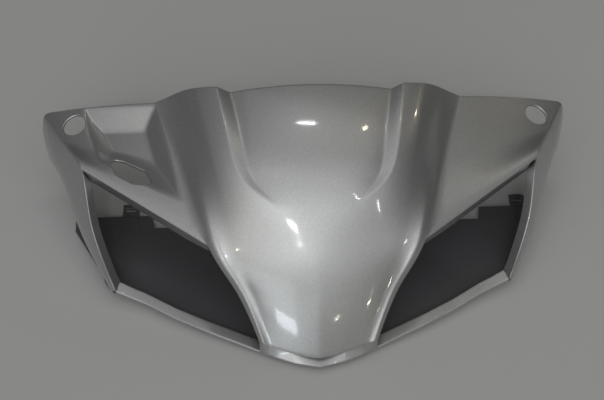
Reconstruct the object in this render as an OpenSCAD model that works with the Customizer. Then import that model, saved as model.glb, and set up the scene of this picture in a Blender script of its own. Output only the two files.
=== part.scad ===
// Front handlebar cover that carries a pair of indicator lamps.
// One moulded shell: a crowned nose between two wings, each wing with a lamp
// opening under it, a mirror-stem hole on top and a side wall at its end.
// Frame: X to the viewer's right, Y to the rear, Z up, as the cover is mounted.
// The origin is the middle of the two rear screw bosses.

/* [Main sizes] */
// Width over the two side walls, mm
width = 476; // [460:2:500]
// Depth from the base line, 14 mm behind the front edge, to the rear corners, mm
depth = 214; // [206:2:226]
// Height of the top edge above the base plane, 8 mm under the bottom wall, mm
height = 151; // [144:1:160]
// Depth of the bottom wall from the base line to its rear edge, mm
floor_depth = 141; // [130:1:150]

/* [Shell] */
// Wall thickness of the moulding, mm
wall = 2.5; // [2:0.1:3.2]
// Depth of the nose panel below the ridges beside it, mm
step_depth = 5; // [3:0.5:7]
// Rise of the crown across the wing's top edge, mm
wing_crown = 2; // [0:0.5:4]

/* [Mirror holes] */
// Radius of each mirror-stem hole, mm
mirror_r = 10.25; // [8:0.25:11]

/* [Wing recess] */
// Depth of the recess in the wing at the viewer's left, mm
recess_depth = 10; // [5:0.5:12]
// Corner radius of the cable slot in the recess, mm
slot_corner = 4; // [2:0.5:5]

/* [Fixings] */
// Half the distance between the two rear screw bosses, mm
screw_x = 70; // [68:0.5:72]
// Pilot hole radius of a screw boss, mm
screw_hole_r = 1.75; // [1.25:0.05:2.25]
// Outer radius of a screw boss, mm
screw_boss_r = 4.5; // [4:0.25:6]
// Width of a slotted clip tab on the bottom wall, mm
tab_w = 15; // [12:0.5:18]
// How far a clip tab stands out behind the bottom wall, mm
tab_out = 15; // [12:0.5:18]

/* [Hidden] */
silver = "#b9bbbd";

// Rear face and height of the screw bosses, measured from the base line and the
// base plane, and the row of the shoulder line that they stand behind
screw_y = 98;
screw_z = 78;
boss_v = .59;
rib = 1.8;

// Column lines of the right half, top edge to nose edge at v = 0, .25, .5, .75, 1.
// Each is followed from the rear top edge, over the cover, to the nose's lower edge.
end_x = width / 2;
keel_line = [[0, depth - 33, height], [0, 105, height - 15], [0, 50, 97], [0, 17, 60.5], [0, -8.5, 20.5]];
shoulder = [[107, depth - 24, height - 11.5], [93, 125, height - 27], [78, 61, 91],
  [56.5, 28.5, 58.5], [42, 2, 26]];
valley = [[134, depth - 19, height - 32], [112, 131, height - 46], [90, 62, 86.5],
  [65.5, 31.5, 55.5], [49.5, 5, 26.5]];
crease = [[end_x - 4, depth, 90], [end_x - 23, 176.5, 94], [end_x - 42, 139, 97.5],
  [end_x - 50, 100, 62], [end_x - 67, 64, 26]];
side_crease = [[end_x - 1, depth - 5, 82], [end_x - 9, 180, 72], [end_x - 22, 150, 60],
  [end_x - 39, 108, 40], [end_x - 64, 66, 22]];
side_rim = [[end_x, depth - 8, 70], [end_x - 3, depth - 17, 44], [end_x - 17, 187, 19],
  [end_x - 36, 130, 17], [end_x - 62, 70, 18]];

// Nose section from keel to shoulder: how flat its crown is at the same five rows,
// and the step beside the nose panel as [v, x of its foot, x of its top]
crown_power = [6, 4.3, 2, 3, 2.1];
step_path = [[0, 68.5, 79.5], [.15, 60, 72.2], [.25, 54.5, 66], [.3, 48, 59.5], [.335, 40.5, 50],
  [.365, 34, 39.5], [.42, 31, 36.5], [.5, 32, 41], [.75, 30, 41], [1, 24, 34]];
step_fade = [.27, .385];

// Nominal places of the columns across the wing, and of the rows down it
wing_s = [0, .058, .117, .175, .234, .32, .405, .49, .573, .627, .682, .736, .86, 1];
wing_w = [0, .047, .098, .149, .2, .28, .355, .43, .504, .575, .647, .718, .78, .86, 1];
low_v = [.6, .66, .72, .78, .84, .9, .95, 1];

// True course of those columns and rows, which bend along the recess's edges:
// [nominal place, place at the near end, halfway and at the far end]
wing_cols = [[0, 0, 0, 0], [.058, .008, .058, .164], [.234, .17, .234, .298],
  [.573, .603, .573, .543], [.736, .612, .733, .628], [1, 1, 1, 1]];
wing_rows = [[0, 0, 0, 0], [.047, .047, .032, .017], [.2, .2, .246, .292],
  [.504, .504, .461, .417], [.718, .718, .727, .519], [1, 1, 1, 1]];

// Bottom wall: front edge and rear edge as [x, y, z], from the middle outwards
rail_end = end_x - 67.5;
rail_edge = [[0, -14, 16.5], [20.5, -9, 15.5], [35, -3.5, 15.5], [49.5, 3.5, 15.5],
  [91, 22.5, 17.5], [119, 37, 18], [145.5, 52.5, 20], [rail_end, 63.5, 23]];
stem_x = 60;
stem_y = 46;
floor_side = [end_x - 38, end_x - 25];
tongue_step = [158, 141];
tongue_out = 15;
tab_x = [199, 163];
row_k = len(wing_w) - 1;
row_m = row_k + len(low_v);
floor_t = [.03, .08, .25, .45, .65, .85, .93, 1];
rows = row_m + 3 + len(floor_t);
row_rail = row_m + 3;

// Column numbers: foot and top of the step, shoulder, valley, end crease, side rim
c_foot = 5;
c_top = 6;
c_sh = 10;
c_va = 13;
c_cr = c_va + len(wing_s) - 1;
c_rim = c_cr + 4;

function mix(a, b, t) = a + (b - a) * t;
function clamp01(t) = min(1, max(0, t));
function smooth(t) = let (c = clamp01(t)) c * c * (3 - 2 * c);
function unit(v) = v / norm(v);
function bump(t, a, b) = smooth((t - a) / (b - a));

// Curve through five points at even steps, with tangents from the neighbours
function tangent(p, i) =
  i == 0 ? p[1] * 1.5 - p[0] * 1.25 - p[2] * .25 - (p[1] - p[0]) * .25 :
  i == len(p) - 1 ? p[i] * 1.25 - p[i - 1] * 1.5 + p[i - 2] * .25 - (p[i] - p[i - 1]) * .25 :
  (p[i + 1] - p[i - 1]) / 2;
function hermite(a, b, ta, tb, t) =
  a * (2 * t * t * t - 3 * t * t + 1) + ta * (t * t * t - 2 * t * t + t)
  + b * (3 * t * t - 2 * t * t * t) + tb * (t * t * t - t * t);
function along(p, v) =
  let (n = len(p) - 1, f = v * n, i = min(n - 1, floor(f)))
  hermite(p[i], p[i + 1], tangent(p, i), tangent(p, i + 1), f - i);

// Straight pieces through a list of [x, y, z], looked up by x
function span_of(p, x, i = 0) = i >= len(p) - 2 || x <= p[i + 1][0] ? i : span_of(p, x, i + 1);
function at_x(p, x) =
  let (i = span_of(p, x))
  mix(p[i], p[i + 1], (x - p[i][0]) / (p[i + 1][0] - p[i][0]));
// The same list followed as a smooth curve
function slope(p, i) =
  let (a = max(0, i - 1), b = min(len(p) - 1, i + 1))
  (p[b] - p[a]) / (p[b][0] - p[a][0]);
function curve_at(p, x) =
  let (i = span_of(p, x), h = p[i + 1][0] - p[i][0])
  hermite(p[i], p[i + 1], slope(p, i) * h, slope(p, i + 1) * h, (x - p[i][0]) / h);
// Curve through values at 0, .5 and 1, given as [name, a, b, c]
function bend(p, t) = p[1] * (1 - t) * (1 - 2 * t) + p[2] * 4 * t * (1 - t) + p[3] * t * (2 * t - 1);

function row_v(r) = r <= row_k ? wing_w[r] / 2 : low_v[r - row_k - 1];

// Nose from keel to shoulder: a crown that gains a crease at the keel low down. The
// panel in its middle is sunk behind a step, which turns inwards and fades out.
function crown_pt(v, x) =
  let (k = along(keel_line, v), s = along(shoulder, v), t = x / s[0],
    f = mix(pow(t, along(crown_power, v)), t, .45 * bump(v, .4, .9)))
  [x, mix(k[1], s[1], f), mix(k[2], s[2], f)];
function step_share(v, x) =
  let (p = curve_at(step_path, v))
  x < p[1] ? pow(x / p[1], 2) : max(0, (p[2] - x) / (p[2] - p[1]));
function nose_pt(v, x) =
  crown_pt(v, x) - [0, .5, 1] * step_depth * step_share(v, x) * (1 - bump(v, step_fade[0], step_fade[1]));
function nose_x(v, c) =
  let (p = curve_at(step_path, v))
  c <= c_foot ? p[1] * c / c_foot
  : c == c_top ? p[2]
  : mix(p[2], along(shoulder, v)[0], (c - c_top) / (c_sh - c_top));
function flank_pt(v, u) =
  let (a = along(shoulder, v), b = along(valley, v))
  mix(a, b, u) + [0, -1.5, 2] * (4 * u * (1 - u)) * mix(-.6, 1, bump(v, .15, .5));

// Wing between the valley and the end crease, with the recess on the left only
function wing_base(v, s) =
  mix(along(valley, v), along(crease, v), s)
  + [0, 0, wing_crown * 4 * s * (1 - s) * (1 - smooth(v / .5))];
function wing_normal(v, s) =
  let (d = .01)
  unit(cross(wing_base(v, s + d) - wing_base(v, s - d), wing_base(v, s) - wing_base(v + d, s)));
function rise(knots, q) =
  min((q - knots[1][0]) / (knots[2][0] - knots[1][0]), (knots[4][0] - q) / (knots[4][0] - knots[3][0]));
function recess_at(s, w) = recess_depth * clamp01(min(rise(wing_cols, s), rise(wing_rows, w)));
function wing_place(s, w) =
  let (col = at_x(wing_cols, s), row = at_x(wing_rows, w),
    s1 = bend(col, w), w1 = bend(row, s1), s2 = bend(col, w1), w2 = bend(row, s2))
  [bend(col, w2), w2];
function wing_pt(v, s, left) =
  v > .5 ? wing_base(v, s)
  : let (q = wing_place(s, 2 * v), p = wing_base(q[1] / 2, q[0]))
  left ? p - wing_normal(q[1] / 2, q[0]) * recess_at(s, 2 * v) : p;

// Side wall from the end crease, over the side crease, to its own rim
function side_pt(v, j) =
  j <= 2 ? mix(along(crease, v), along(side_crease, v), j / 2) + [.8, 0, .4] * (j == 1 ? 1 : 0)
  : mix(along(side_crease, v), along(side_rim, v), (j - 2) / 2) + [.8, 0, -.4] * (j == 3 ? 1 : 0);

// Point of the outer skin over the top, v from the rear edge to the nose edge
function skin_pt(v, c, left) =
  c <= c_sh ? nose_pt(v, nose_x(v, c))
  : c <= c_va ? flank_pt(v, (c - c_sh) / (c_va - c_sh))
  : c < c_cr ? wing_pt(v, wing_s[c - c_va], left)
  : side_pt(v, c - c_cr);

// Front edge of the bottom wall below each column
function rail_x(c) =
  c <= c_va ? skin_pt(1, c, false)[0]
  : c <= c_cr ? mix(rail_edge[3][0], rail_end, wing_s[c - c_va]) : rail_end;
function rail_pt(c) =
  c <= c_cr ? at_x(rail_edge, rail_x(c))
  : mix([rail_end, 63.5, 23], [rail_end + 4, 70.5, 15.5], (c - c_cr) / 4);

// Rear edge of the bottom wall: a notch for the steering stem in the middle and
// a tongue at each end that starts nearer the middle on the left than the right
function rear_x(c, left) =
  let (step = tongue_step[left ? 1 : 0], a = wing_s[8], b = wing_s[9], middle = stem_x + 6)
  c <= c_va ? mix(0, middle, c / c_va)
  : c <= c_cr ? let (s = wing_s[c - c_va])
    (s <= a ? mix(middle, step, s / a) : mix(step + 3, floor_side[0], (s - b) / (1 - b)))
  : mix(floor_side[0], floor_side[1], (c - c_cr) / 4);
function rear_pt(c, left) =
  let (x = rear_x(c, left),
    notch = x < stem_x ? stem_y * sqrt(1 - pow(x / stem_x, 2)) : 0)
  [x, floor_depth - notch, mix(8, 9.5, smooth(x / 150))];
function tongue(c, left) = c > c_va + 8 ? tongue_out : 0;

// The bottom wall: turns under the front edge, then runs back to the rear edge
function floor_pt(c, t, left) =
  let (a = rail_pt(c), b = rear_pt(c, left), drop = c <= c_cr ? 6 : 6 - 1.2 * (c - c_cr))
  t == floor_t[0] ? a + [0, .3, -.55 * drop]
  : t == floor_t[1] ? a + [0, 1.8, -drop]
  : let (mid = mix(a, b, t), fall = drop * (1 - smooth((t - .05) / .95)))
  [mid[0], mid[1] + (t == 1 ? tongue(c, left) : 0), mid[2] - fall];

// Small step under the nose edge: a shadow gap, then the lip of the bottom wall
function lip_pt(c, i) =
  let (n = skin_pt(1, c, false), r = rail_pt(c),
    wide = c <= c_va ? 1 : 0)
  wide == 1 ? (i == 1 ? n + [0, 3, -.5] : n + [0, 2.2, -3.2]) : mix(n, r, i / 3);

function outer_pt(r, c, left) =
  r <= row_m ? skin_pt(row_v(r), c, left)
  : r < row_rail ? lip_pt(c, r - row_m)
  : r == row_rail ? rail_pt(c)
  : floor_pt(c, floor_t[r - row_rail - 1], left);

// Whole grid: columns run from the left rim to the right rim
cols = 2 * c_rim;
function grid_pt(r, k) =
  let (c = abs(k - c_rim), left = k < c_rim, p = outer_pt(r, c, left))
  [left ? -p[0] : p[0], p[1], p[2]];
skin = [for (r = [0:rows]) [for (k = [0:cols]) grid_pt(r, k)]];

// Lamp openings are blocks of cells left out of the grid
function in_hole(r, k) =
  let (c = k < c_rim ? c_rim - k - 1 : k - c_rim)
  r >= row_k && r < row_rail && c >= c_va && c < c_cr;

// Inward normal offset: the average of the cells that meet at a point
function cell_n(r, k) =
  r < 0 || k < 0 || r >= rows || k >= cols || in_hole(r, k) ? [0, 0, 0] :
  let (n = cross(skin[r + 1][k + 1] - skin[r][k], skin[r][k + 1] - skin[r + 1][k]))
  unit(n);
function point_n(r, k) =
  let (a = [cell_n(r - 1, k - 1), cell_n(r - 1, k), cell_n(r, k - 1), cell_n(r, k)],
    s = a[0] + a[1] + a[2] + a[3], u = norm(s) > 0 ? unit(s) : [0, 0, 1],
    lean = min([for (q = a) norm(q) > 0 ? u * q : 1]))
  u / max(.6, lean);

// Points of the opening's edge in order, as [row, column], for one side
function hole_loop(left) =
  let (a = left ? c_rim - c_va : c_rim + c_va, b = left ? c_rim - c_cr : c_rim + c_cr,
    d = left ? -1 : 1)
  concat(
    [for (k = [a:d:b]) [row_k, k]],
    [for (r = [row_k + 1:row_rail]) [r, b]],
    [for (k = [b - d:-d:a]) [row_rail, k]],
    [for (r = [row_rail - 1:-1:row_k + 1]) [r, a]]);

// Which way the edge turns in, for the right side, at each stretch of the loop
turn_top = [0, 2, -12];
turn_post = [-5.5, 6, -4];
turn_rail = [0, 11, .5];
turn_nose = [-2, 9, -4];
n_top = c_cr - c_va;
n_side = row_rail - row_k;
corner_top_in = [-4, 3, -9];
corner_top_out = [-7.5, -3.4, -12.7];
corner_low_out = [-3, 10.5, .5];
corner_low_in = [-1, 11, 0];
post_end = [-3.8, 10, -.5];
function turn_in(i) =
  i == 0 ? corner_top_in
  : i < n_top ? turn_top
  : i == n_top ? corner_top_out
  : i < n_top + n_side - 3 ? turn_post
  : i == n_top + n_side - 3 ? post_end
  : i < n_top + n_side ? mix(post_end, corner_low_out, (i - n_top - n_side + 3) / 3)
  : i == n_top + n_side ? corner_low_out
  : i < 2 * n_top + n_side ? turn_rail
  : i == 2 * n_top + n_side ? corner_low_in
  : i == 2 * n_top + n_side + 1 ? [-1.3, 7.2, -5.8]
  : i == 2 * n_top + n_side + 2 ? [-1.5, 6.4, -6]
  : turn_nose;
// Away from the opening's middle, within the shell, so the return keeps its wall
function back_dir(i) =
  i == 0 ? [-1, .5, .3]
  : i < n_top ? [0, .98, .2]
  : i == n_top ? [.5, .8, .2]
  : i < n_top + n_side ? [.74, .67, 0]
  : i == n_top + n_side ? [.5, .3, -.8]
  : i < 2 * n_top + n_side ? [0, 0, -1]
  : i == 2 * n_top + n_side ? [-.8, 0, -.8]
  : [-.95, -.1, -.1];
function flip(p, left) = left ? [-p[0], p[1], p[2]] : p;

loop_n = 2 * (n_top + n_side);
loops = [hole_loop(true), hole_loop(false)];
lip_out = [for (h = [0, 1]) [for (i = [0:loop_n - 1])
  let (q = loops[h][i]) skin[q[0]][q[1]] + flip(turn_in(i), h == 0)]];
lip_back = [for (h = [0, 1]) [for (i = [0:loop_n - 1])
  lip_out[h][i] + wall * flip(back_dir(i), h == 0)]];

// Place of a grid point in the loop of the opening on its side, or -1 if off the edge
function loop_at(r, k) =
  let (c = abs(k - c_rim))
  c < c_va || c > c_cr || r < row_k || r > row_rail ? -1
  : r == row_k ? c - c_va
  : c == c_cr ? n_top + r - row_k
  : r == row_rail ? n_top + n_side + c_cr - c
  : c == c_va ? 2 * n_top + n_side + row_rail - r
  : -1;

// Inner surface: the skin moved in by the wall, mitred where a return flange starts
function lining_pt(r, k) =
  let (n = point_n(r, k), i = loop_at(r, k))
  i < 0 ? skin[r][k] - wall * n
  : let (u = unit(n), m = unit(flip(back_dir(i), k < c_rim)))
  skin[r][k] + wall * (m - u) / (1 + max(-.4, -(u * m)));
lining = [for (r = [0:rows]) [for (k = [0:cols]) lining_pt(r, k)]];

// Point numbers: skin, lining, then the two return flanges
per = cols + 1;
n_skin = (rows + 1) * per;
function sk(r, k) = r * per + k;
function li(r, k) = n_skin + r * per + k;
function lo(h, i) = 2 * n_skin + h * loop_n + (i + loop_n) % loop_n;
function lb(h, i) = 2 * n_skin + (2 + h) * loop_n + (i + loop_n) % loop_n;
function flat_list(a) = [for (r = a) for (p = r) p];
shell_points = concat(flat_list(skin), flat_list(lining), flat_list(lip_out), flat_list(lip_back));

// A recess corner's crease runs along one diagonal of its cells
function other_way(r, k) =
  let (c = k < c_rim ? c_rim - k - 1 : k - c_rim, j = c - c_va, left = k < c_rim)
  left && j >= 0 && r < row_k && ((j < 5 && r < 5) || (j >= 7 && r >= 6)) ? true : false;

// Two triangles for four points, clockwise from outside
function quad(a, b, c, d, swap) = swap ? [[a, b, d], [b, c, d]] : [[a, b, c], [a, c, d]];
skin_faces = [for (r = [0:rows - 1]) for (k = [0:cols - 1]) if (!in_hole(r, k))
  each quad(sk(r, k), sk(r, k + 1), sk(r + 1, k + 1), sk(r + 1, k), other_way(r, k))];
lining_faces = [for (r = [0:rows - 1]) for (k = [0:cols - 1]) if (!in_hole(r, k))
  each quad(li(r, k), li(r + 1, k), li(r + 1, k + 1), li(r, k + 1), other_way(r, k))];

// Rim faces round the outside of the grid
rim = concat(
  [for (k = [0:cols - 1]) [0, k]],
  [for (r = [0:rows - 1]) [r, cols]],
  [for (k = [cols:-1:1]) [rows, k]],
  [for (r = [rows:-1:1]) [r, 0]]);
rim_faces = [for (i = [0:len(rim) - 1])
  let (p = rim[i], q = rim[(i + 1) % len(rim)])
  each quad(sk(p[0], p[1]), li(p[0], p[1]), li(q[0], q[1]), sk(q[0], q[1]), false)];

// Return flange round each opening: edge, tip, tip back, and back to the lining
flange_faces = [for (h = [0, 1]) for (i = [0:loop_n - 1])
  let (p = loops[h][i], q = loops[h][(i + 1) % loop_n],
    a = h == 1 ? [p, i] : [q, i + 1], b = h == 1 ? [q, i + 1] : [p, i])
  each concat(
    quad(sk(a[0][0], a[0][1]), sk(b[0][0], b[0][1]), lo(h, b[1]), lo(h, a[1]), false),
    quad(lo(h, a[1]), lo(h, b[1]), lb(h, b[1]), lb(h, a[1]), false),
    quad(lb(h, a[1]), lb(h, b[1]), li(b[0][0], b[0][1]), li(a[0][0], a[0][1]), false))];

module shell() {
  polyhedron(points = shell_points,
    faces = concat(skin_faces, lining_faces, rim_faces, flange_faces), convexity = 12);
}

// Mirror-stem holes, square to the wing
mirror_s = .805;
mirror_v = .12;
mirror_at = wing_base(mirror_v, mirror_s);
mirror_n = wing_normal(mirror_v, mirror_s);
module along_normal(p, n) {
  b = acos(n[2]);
  c = atan2(n[1], n[0]);
  translate(p) rotate([0, b, c]) children();
}
module mirror_hole() {
  along_normal(mirror_at, mirror_n) cylinder(r = mirror_r, h = 24, center = true, $fn = 64);
}

// Slot at the foot of the recess
slot_corners = [[.585, .6], [.54, .595], [.38, .625], [.365, .7], [.473, .742], [.59, .727]];
module cable_slot() {
  n = flip(wing_normal(.32, .48), true);
  hull() for (q = slot_corners)
    along_normal(flip(wing_base(q[1] / 2, q[0]), true) - n * 5, n)
      cylinder(r = slot_corner, h = 30, center = true, $fn = 24);
}

// Rear screw boss: stands back from the inside of the nose's shoulder, which
// trims its front end, with two gussets and a pilot hole from the rear
boss_skin = skin_pt(boss_v, c_sh, false);
boss_skin_n = unit(cross(skin_pt(boss_v, c_sh + 1, false) - skin_pt(boss_v, c_sh - 1, false),
  skin_pt(boss_v - .02, c_sh, false) - skin_pt(boss_v + .02, c_sh, false)));
module screw_boss() {
  difference() {
    union() {
      translate([screw_x, 30, screw_z]) rotate([-90, 0, 0])
        cylinder(r = screw_boss_r, h = screw_y - 30, $fn = 32);
      translate([screw_x - rib / 2, 34, screw_z - 7]) cube([rib, screw_y - 46, 21]);
    }
    along_normal(boss_skin - boss_skin_n * (wall * .5), boss_skin_n)
      translate([-60, -60, 0]) cube([120, 120, 80]);
  }
}
module screw_pilot() {
  translate([screw_x, screw_y - 14, screw_z]) rotate([-90, 0, 0])
    cylinder(r = screw_hole_r, h = 15, $fn = 32);
}

// Clip tab with a slot, and three ribs that stiffen its root
module clip_tab(x) {
  translate([x, floor_depth + 10, 8]) difference() {
    translate([-tab_w / 2, 0, 0]) cube([tab_w, tab_out + 5, wall]);
    translate([-tab_w / 4, tab_out - 5, -1]) cube([tab_w / 2, 4, wall + 2]);
  }
  for (d = [-tab_w / 2, -rib / 2, tab_w / 2 - rib])
    translate([x + d, floor_depth - 3, 8]) cube([rib, 20, 5]);
}

module lamp_cover() {
  color(silver) translate([0, -screw_y, -screw_z]) difference() {
    union() {
      shell();
      clip_tab(-tab_x[1]);
      clip_tab(tab_x[0]);
      screw_boss();
      mirror([1, 0, 0]) screw_boss();
    }
    screw_pilot();
    mirror([1, 0, 0]) screw_pilot();
    mirror_hole();
    mirror([1, 0, 0]) mirror_hole();
    cable_slot();
  }
}

lamp_cover();
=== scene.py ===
import math

import bmesh
import bpy
import numpy as np
from mathutils import Matrix, Vector
from mathutils.bvhtree import BVHTree


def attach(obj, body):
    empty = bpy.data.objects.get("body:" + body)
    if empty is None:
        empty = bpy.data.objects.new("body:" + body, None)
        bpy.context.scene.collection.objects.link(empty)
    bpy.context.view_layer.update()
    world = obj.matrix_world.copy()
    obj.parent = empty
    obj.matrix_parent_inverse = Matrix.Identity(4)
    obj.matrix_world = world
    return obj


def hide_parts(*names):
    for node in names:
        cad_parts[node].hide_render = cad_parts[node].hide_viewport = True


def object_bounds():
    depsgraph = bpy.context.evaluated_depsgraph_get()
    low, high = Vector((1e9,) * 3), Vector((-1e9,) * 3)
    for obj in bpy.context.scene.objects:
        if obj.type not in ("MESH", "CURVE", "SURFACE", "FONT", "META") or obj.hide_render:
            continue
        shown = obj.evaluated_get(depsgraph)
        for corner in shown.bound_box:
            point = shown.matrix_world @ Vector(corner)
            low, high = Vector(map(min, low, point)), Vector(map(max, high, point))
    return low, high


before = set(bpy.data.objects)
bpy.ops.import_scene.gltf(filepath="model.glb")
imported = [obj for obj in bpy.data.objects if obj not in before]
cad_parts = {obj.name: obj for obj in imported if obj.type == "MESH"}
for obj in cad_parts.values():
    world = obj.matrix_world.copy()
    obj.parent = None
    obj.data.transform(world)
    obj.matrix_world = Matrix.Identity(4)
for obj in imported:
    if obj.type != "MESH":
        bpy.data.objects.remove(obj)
cad_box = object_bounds()


# The cover's shell: one injection moulding in ABS, 2.5 mm thick, painted silver
# outside. A crowned nose stands between two wings. Each wing has a lamp opening
# under it, and the edge of each opening turns in as a narrow return.
MM = 0.001
ORIGIN = np.array([0.0, 98.0, 78.0])
WALL = 2.5

# Fold lines down the right half, from the rear top edge to the nose's lower edge
KEEL = [(0, 181, 151), (0, 105, 136), (0, 50, 97), (0, 17, 60.5), (0, -8.5, 20.5)]
SHOULDER = [(107, 190, 139.5), (93, 125, 124), (78, 61, 91), (56.5, 28.5, 58.5), (42, 2, 26)]
VALLEY = [(134, 195, 119), (112, 131, 105), (90, 62, 86.5), (65.5, 31.5, 55.5), (49.5, 5, 26.5)]
CREASE = [(234, 214, 90), (215, 176.5, 94), (196, 139, 97.5), (188, 100, 62), (171, 64, 26)]
SIDE_CREASE = [(237, 209, 82), (229, 180, 72), (216, 150, 60), (199, 108, 40), (174, 66, 22)]
SIDE_RIM = [(238, 206, 70), (235, 197, 44), (221, 187, 19), (202, 130, 17), (176, 70, 18)]

# How flat the nose's crown is down those lines, and the step beside the nose
# panel: place down the nose, distance of its foot and of its top from the keel
CROWN_POWER = [6, 4.3, 2, 3, 2.1]
STEP_PATH = [(0, 68.5, 79.5), (0.15, 60, 72.2), (0.25, 54.5, 66), (0.3, 48, 59.5), (0.335, 40.5, 50),
             (0.365, 34, 39.5), (0.42, 31, 36.5), (0.5, 32, 41), (0.75, 30, 41), (1, 24, 34)]
STEP_DEPTH = 5.0
STEP_FADE = (0.27, 0.385)
KEEL_RADIUS = 0.05

# Course of the lines that bend along the recess: nominal place, then the place
# at the line's two ends and in its middle
ACROSS = [(0, 0, 0, 0), (0.058, 0.008, 0.058, 0.164), (0.234, 0.17, 0.234, 0.298),
          (0.573, 0.603, 0.573, 0.543), (0.736, 0.612, 0.733, 0.628), (1, 1, 1, 1)]
DOWN = [(0, 0, 0, 0), (0.047, 0.047, 0.032, 0.017), (0.2, 0.2, 0.246, 0.292),
        (0.504, 0.504, 0.461, 0.417), (0.718, 0.718, 0.727, 0.519), (1, 1, 1, 1)]
RECESS_DEPTH = 10.0
WING_CROWN = 2.0

# Front edge of the bottom wall, and its rear edge with the steering stem's notch
RAIL_END = 170.5
RAIL = [(0, -14, 16.5), (20.5, -9, 15.5), (35, -3.5, 15.5), (49.5, 3.5, 15.5),
        (91, 22.5, 17.5), (119, 37, 18), (145.5, 52.5, 20), (RAIL_END, 63.5, 23)]
FLOOR_DEPTH = 141.0
STEM_HALF, STEM_DEEP = 60.0, 46.0
TONGUE_OUT = 15.0
TONGUE_STEP = {"right": 158.0, "left": 141.0}


def mix(a, b, t):
    return a + (b - a) * t


def smooth(t):
    t = np.clip(t, 0, 1)
    return t * t * (3 - 2 * t)


def unit(a):
    return a / np.maximum(np.linalg.norm(a, axis=-1, keepdims=True), 1e-9)


def hermite(a, b, ta, tb, t):
    return (a * (2 * t**3 - 3 * t**2 + 1) + ta * (t**3 - 2 * t**2 + t)
            + b * (3 * t**2 - 2 * t**3) + tb * (t**3 - t**2))


def along(line, v):
    """Points of a line through evenly spaced given points, v from 0 to 1."""
    p = np.array(line, float)
    n = len(p) - 1
    turn = [p[1] * 1.5 - p[0] * 1.25 - p[2] * 0.25 - (p[1] - p[0]) * 0.25]
    turn += [(p[i + 1] - p[i - 1]) / 2 for i in range(1, n)]
    turn += [p[n] * 1.25 - p[n - 1] * 1.5 + p[n - 2] * 0.25 - (p[n] - p[n - 1]) * 0.25]
    turn = np.array(turn)
    v = np.asarray(v, float)
    i = np.clip((v * n).astype(int), 0, n - 1)
    t = v * n - i
    if p.ndim > 1:
        t = t[..., None]
    return hermite(p[i], p[i + 1], turn[i], turn[i + 1], t)


def look_up(table, x):
    """Smooth curve through the rows of a table, looked up by the first column."""
    p = np.array(table, float)
    i = int(np.clip(np.searchsorted(p[:, 0], x, side="left") - 1, 0, len(p) - 2))
    low, high = max(0, i - 1), min(len(p) - 1, i + 2)
    gap = p[i + 1, 0] - p[i, 0]
    ta = (p[i + 1] - p[low]) / (p[i + 1, 0] - p[low, 0]) * gap
    tb = (p[high] - p[i]) / (p[high, 0] - p[i, 0]) * gap
    return hermite(p[i], p[i + 1], ta, tb, (x - p[i, 0]) / gap)


def nose_points(v, x):
    """Crown from the keel to the shoulder, with the sunk panel in its middle."""
    keel, shoulder = along(KEEL, v), along(SHOULDER, v)
    t = x / shoulder[0]
    at_shoulder = math.sqrt(1 + KEEL_RADIUS**2) - KEEL_RADIUS
    peak = (np.sqrt(t * t + KEEL_RADIUS**2) - KEEL_RADIUS) / at_shoulder
    low = 0.45 * smooth((v - 0.4) / 0.5)
    f = mix(t ** float(along(CROWN_POWER, v)), peak, low)
    foot, top = look_up(STEP_PATH, v)[1:]
    sunk = np.where(x < foot, (x / foot) ** 2, np.clip((top - x) / (top - foot), 0, 1))
    sunk = sunk * STEP_DEPTH * (1 - smooth((v - STEP_FADE[0]) / (STEP_FADE[1] - STEP_FADE[0])))
    y = mix(keel[1], shoulder[1], f) - 0.5 * sunk
    z = mix(keel[2], shoulder[2], f) - sunk
    return np.stack([x, y, z], -1)


def flank_points(v, u):
    """Between the shoulder and the valley, hollow at the rear and swollen lower down."""
    straight = mix(along(SHOULDER, v), along(VALLEY, v), u[:, None])
    swell = 4 * u * (1 - u) * mix(-0.6, 1, smooth((v - 0.15) / 0.35))
    return straight + swell[:, None] * np.array([0, -1.5, 2])


def wing_surface(v, s):
    """Between the valley and the end crease, with a slight crown towards the rear."""
    straight = mix(along(VALLEY, v), along(CREASE, v), s[..., None])
    crown = WING_CROWN * 4 * s * (1 - s) * (1 - smooth(v / 0.5))
    return straight + crown[..., None] * np.array([0, 0, 1.0])


def wing_normals(v, s):
    e = 0.01
    return unit(np.cross(wing_surface(v, s + e) - wing_surface(v, s - e),
                         wing_surface(v, s) - wing_surface(v + e, s)))


def bend(table, name, t):
    """Where the line of that nominal place runs at t, by a curve through three places."""
    a, b, c = (np.interp(name, [row[0] for row in table], [row[k] for row in table]) for k in (1, 2, 3))
    return a * (1 - t) * (1 - 2 * t) + b * 4 * t * (1 - t) + c * t * (2 * t - 1)


def soft_min(a, b, k):
    """The smaller of two values, with its kink rounded over a band k wide."""
    over = np.maximum(k - np.abs(a - b), 0)
    return np.minimum(a, b) - over * over / (4 * k)


def rise(table, q):
    """0 at the recess's rim and 1 at the foot of its wall, from either side."""
    name = [row[0] for row in table]
    return soft_min((q - name[1]) / (name[2] - name[1]), (name[4] - q) / (name[4] - name[3]), 0.1)


def bent_places(v, s):
    """Places on the wing after the lines bend along the recess's walls."""
    if v > 0.5:
        return np.full_like(s, v), s
    w = 2 * v
    w1 = bend(DOWN, w, bend(ACROSS, s, w))
    w2 = bend(DOWN, w, bend(ACROSS, s, w1))
    return w2 / 2, bend(ACROSS, s, w2)


def wing_points(v, s):
    return wing_surface(*bent_places(v, s))


def recess_points(v, s):
    """The same wing, sunk within the recess's rim."""
    if v > 0.5:
        return wing_points(v, s)
    share = soft_min(soft_min(rise(ACROSS, s), rise(DOWN, 2 * v), 0.1), 1.0, 0.12)
    share = -soft_min(-share, 0.0, 0.14)
    return wing_points(v, s) - wing_normals(*bent_places(v, s)) * (RECESS_DEPTH * share)[:, None]


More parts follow.
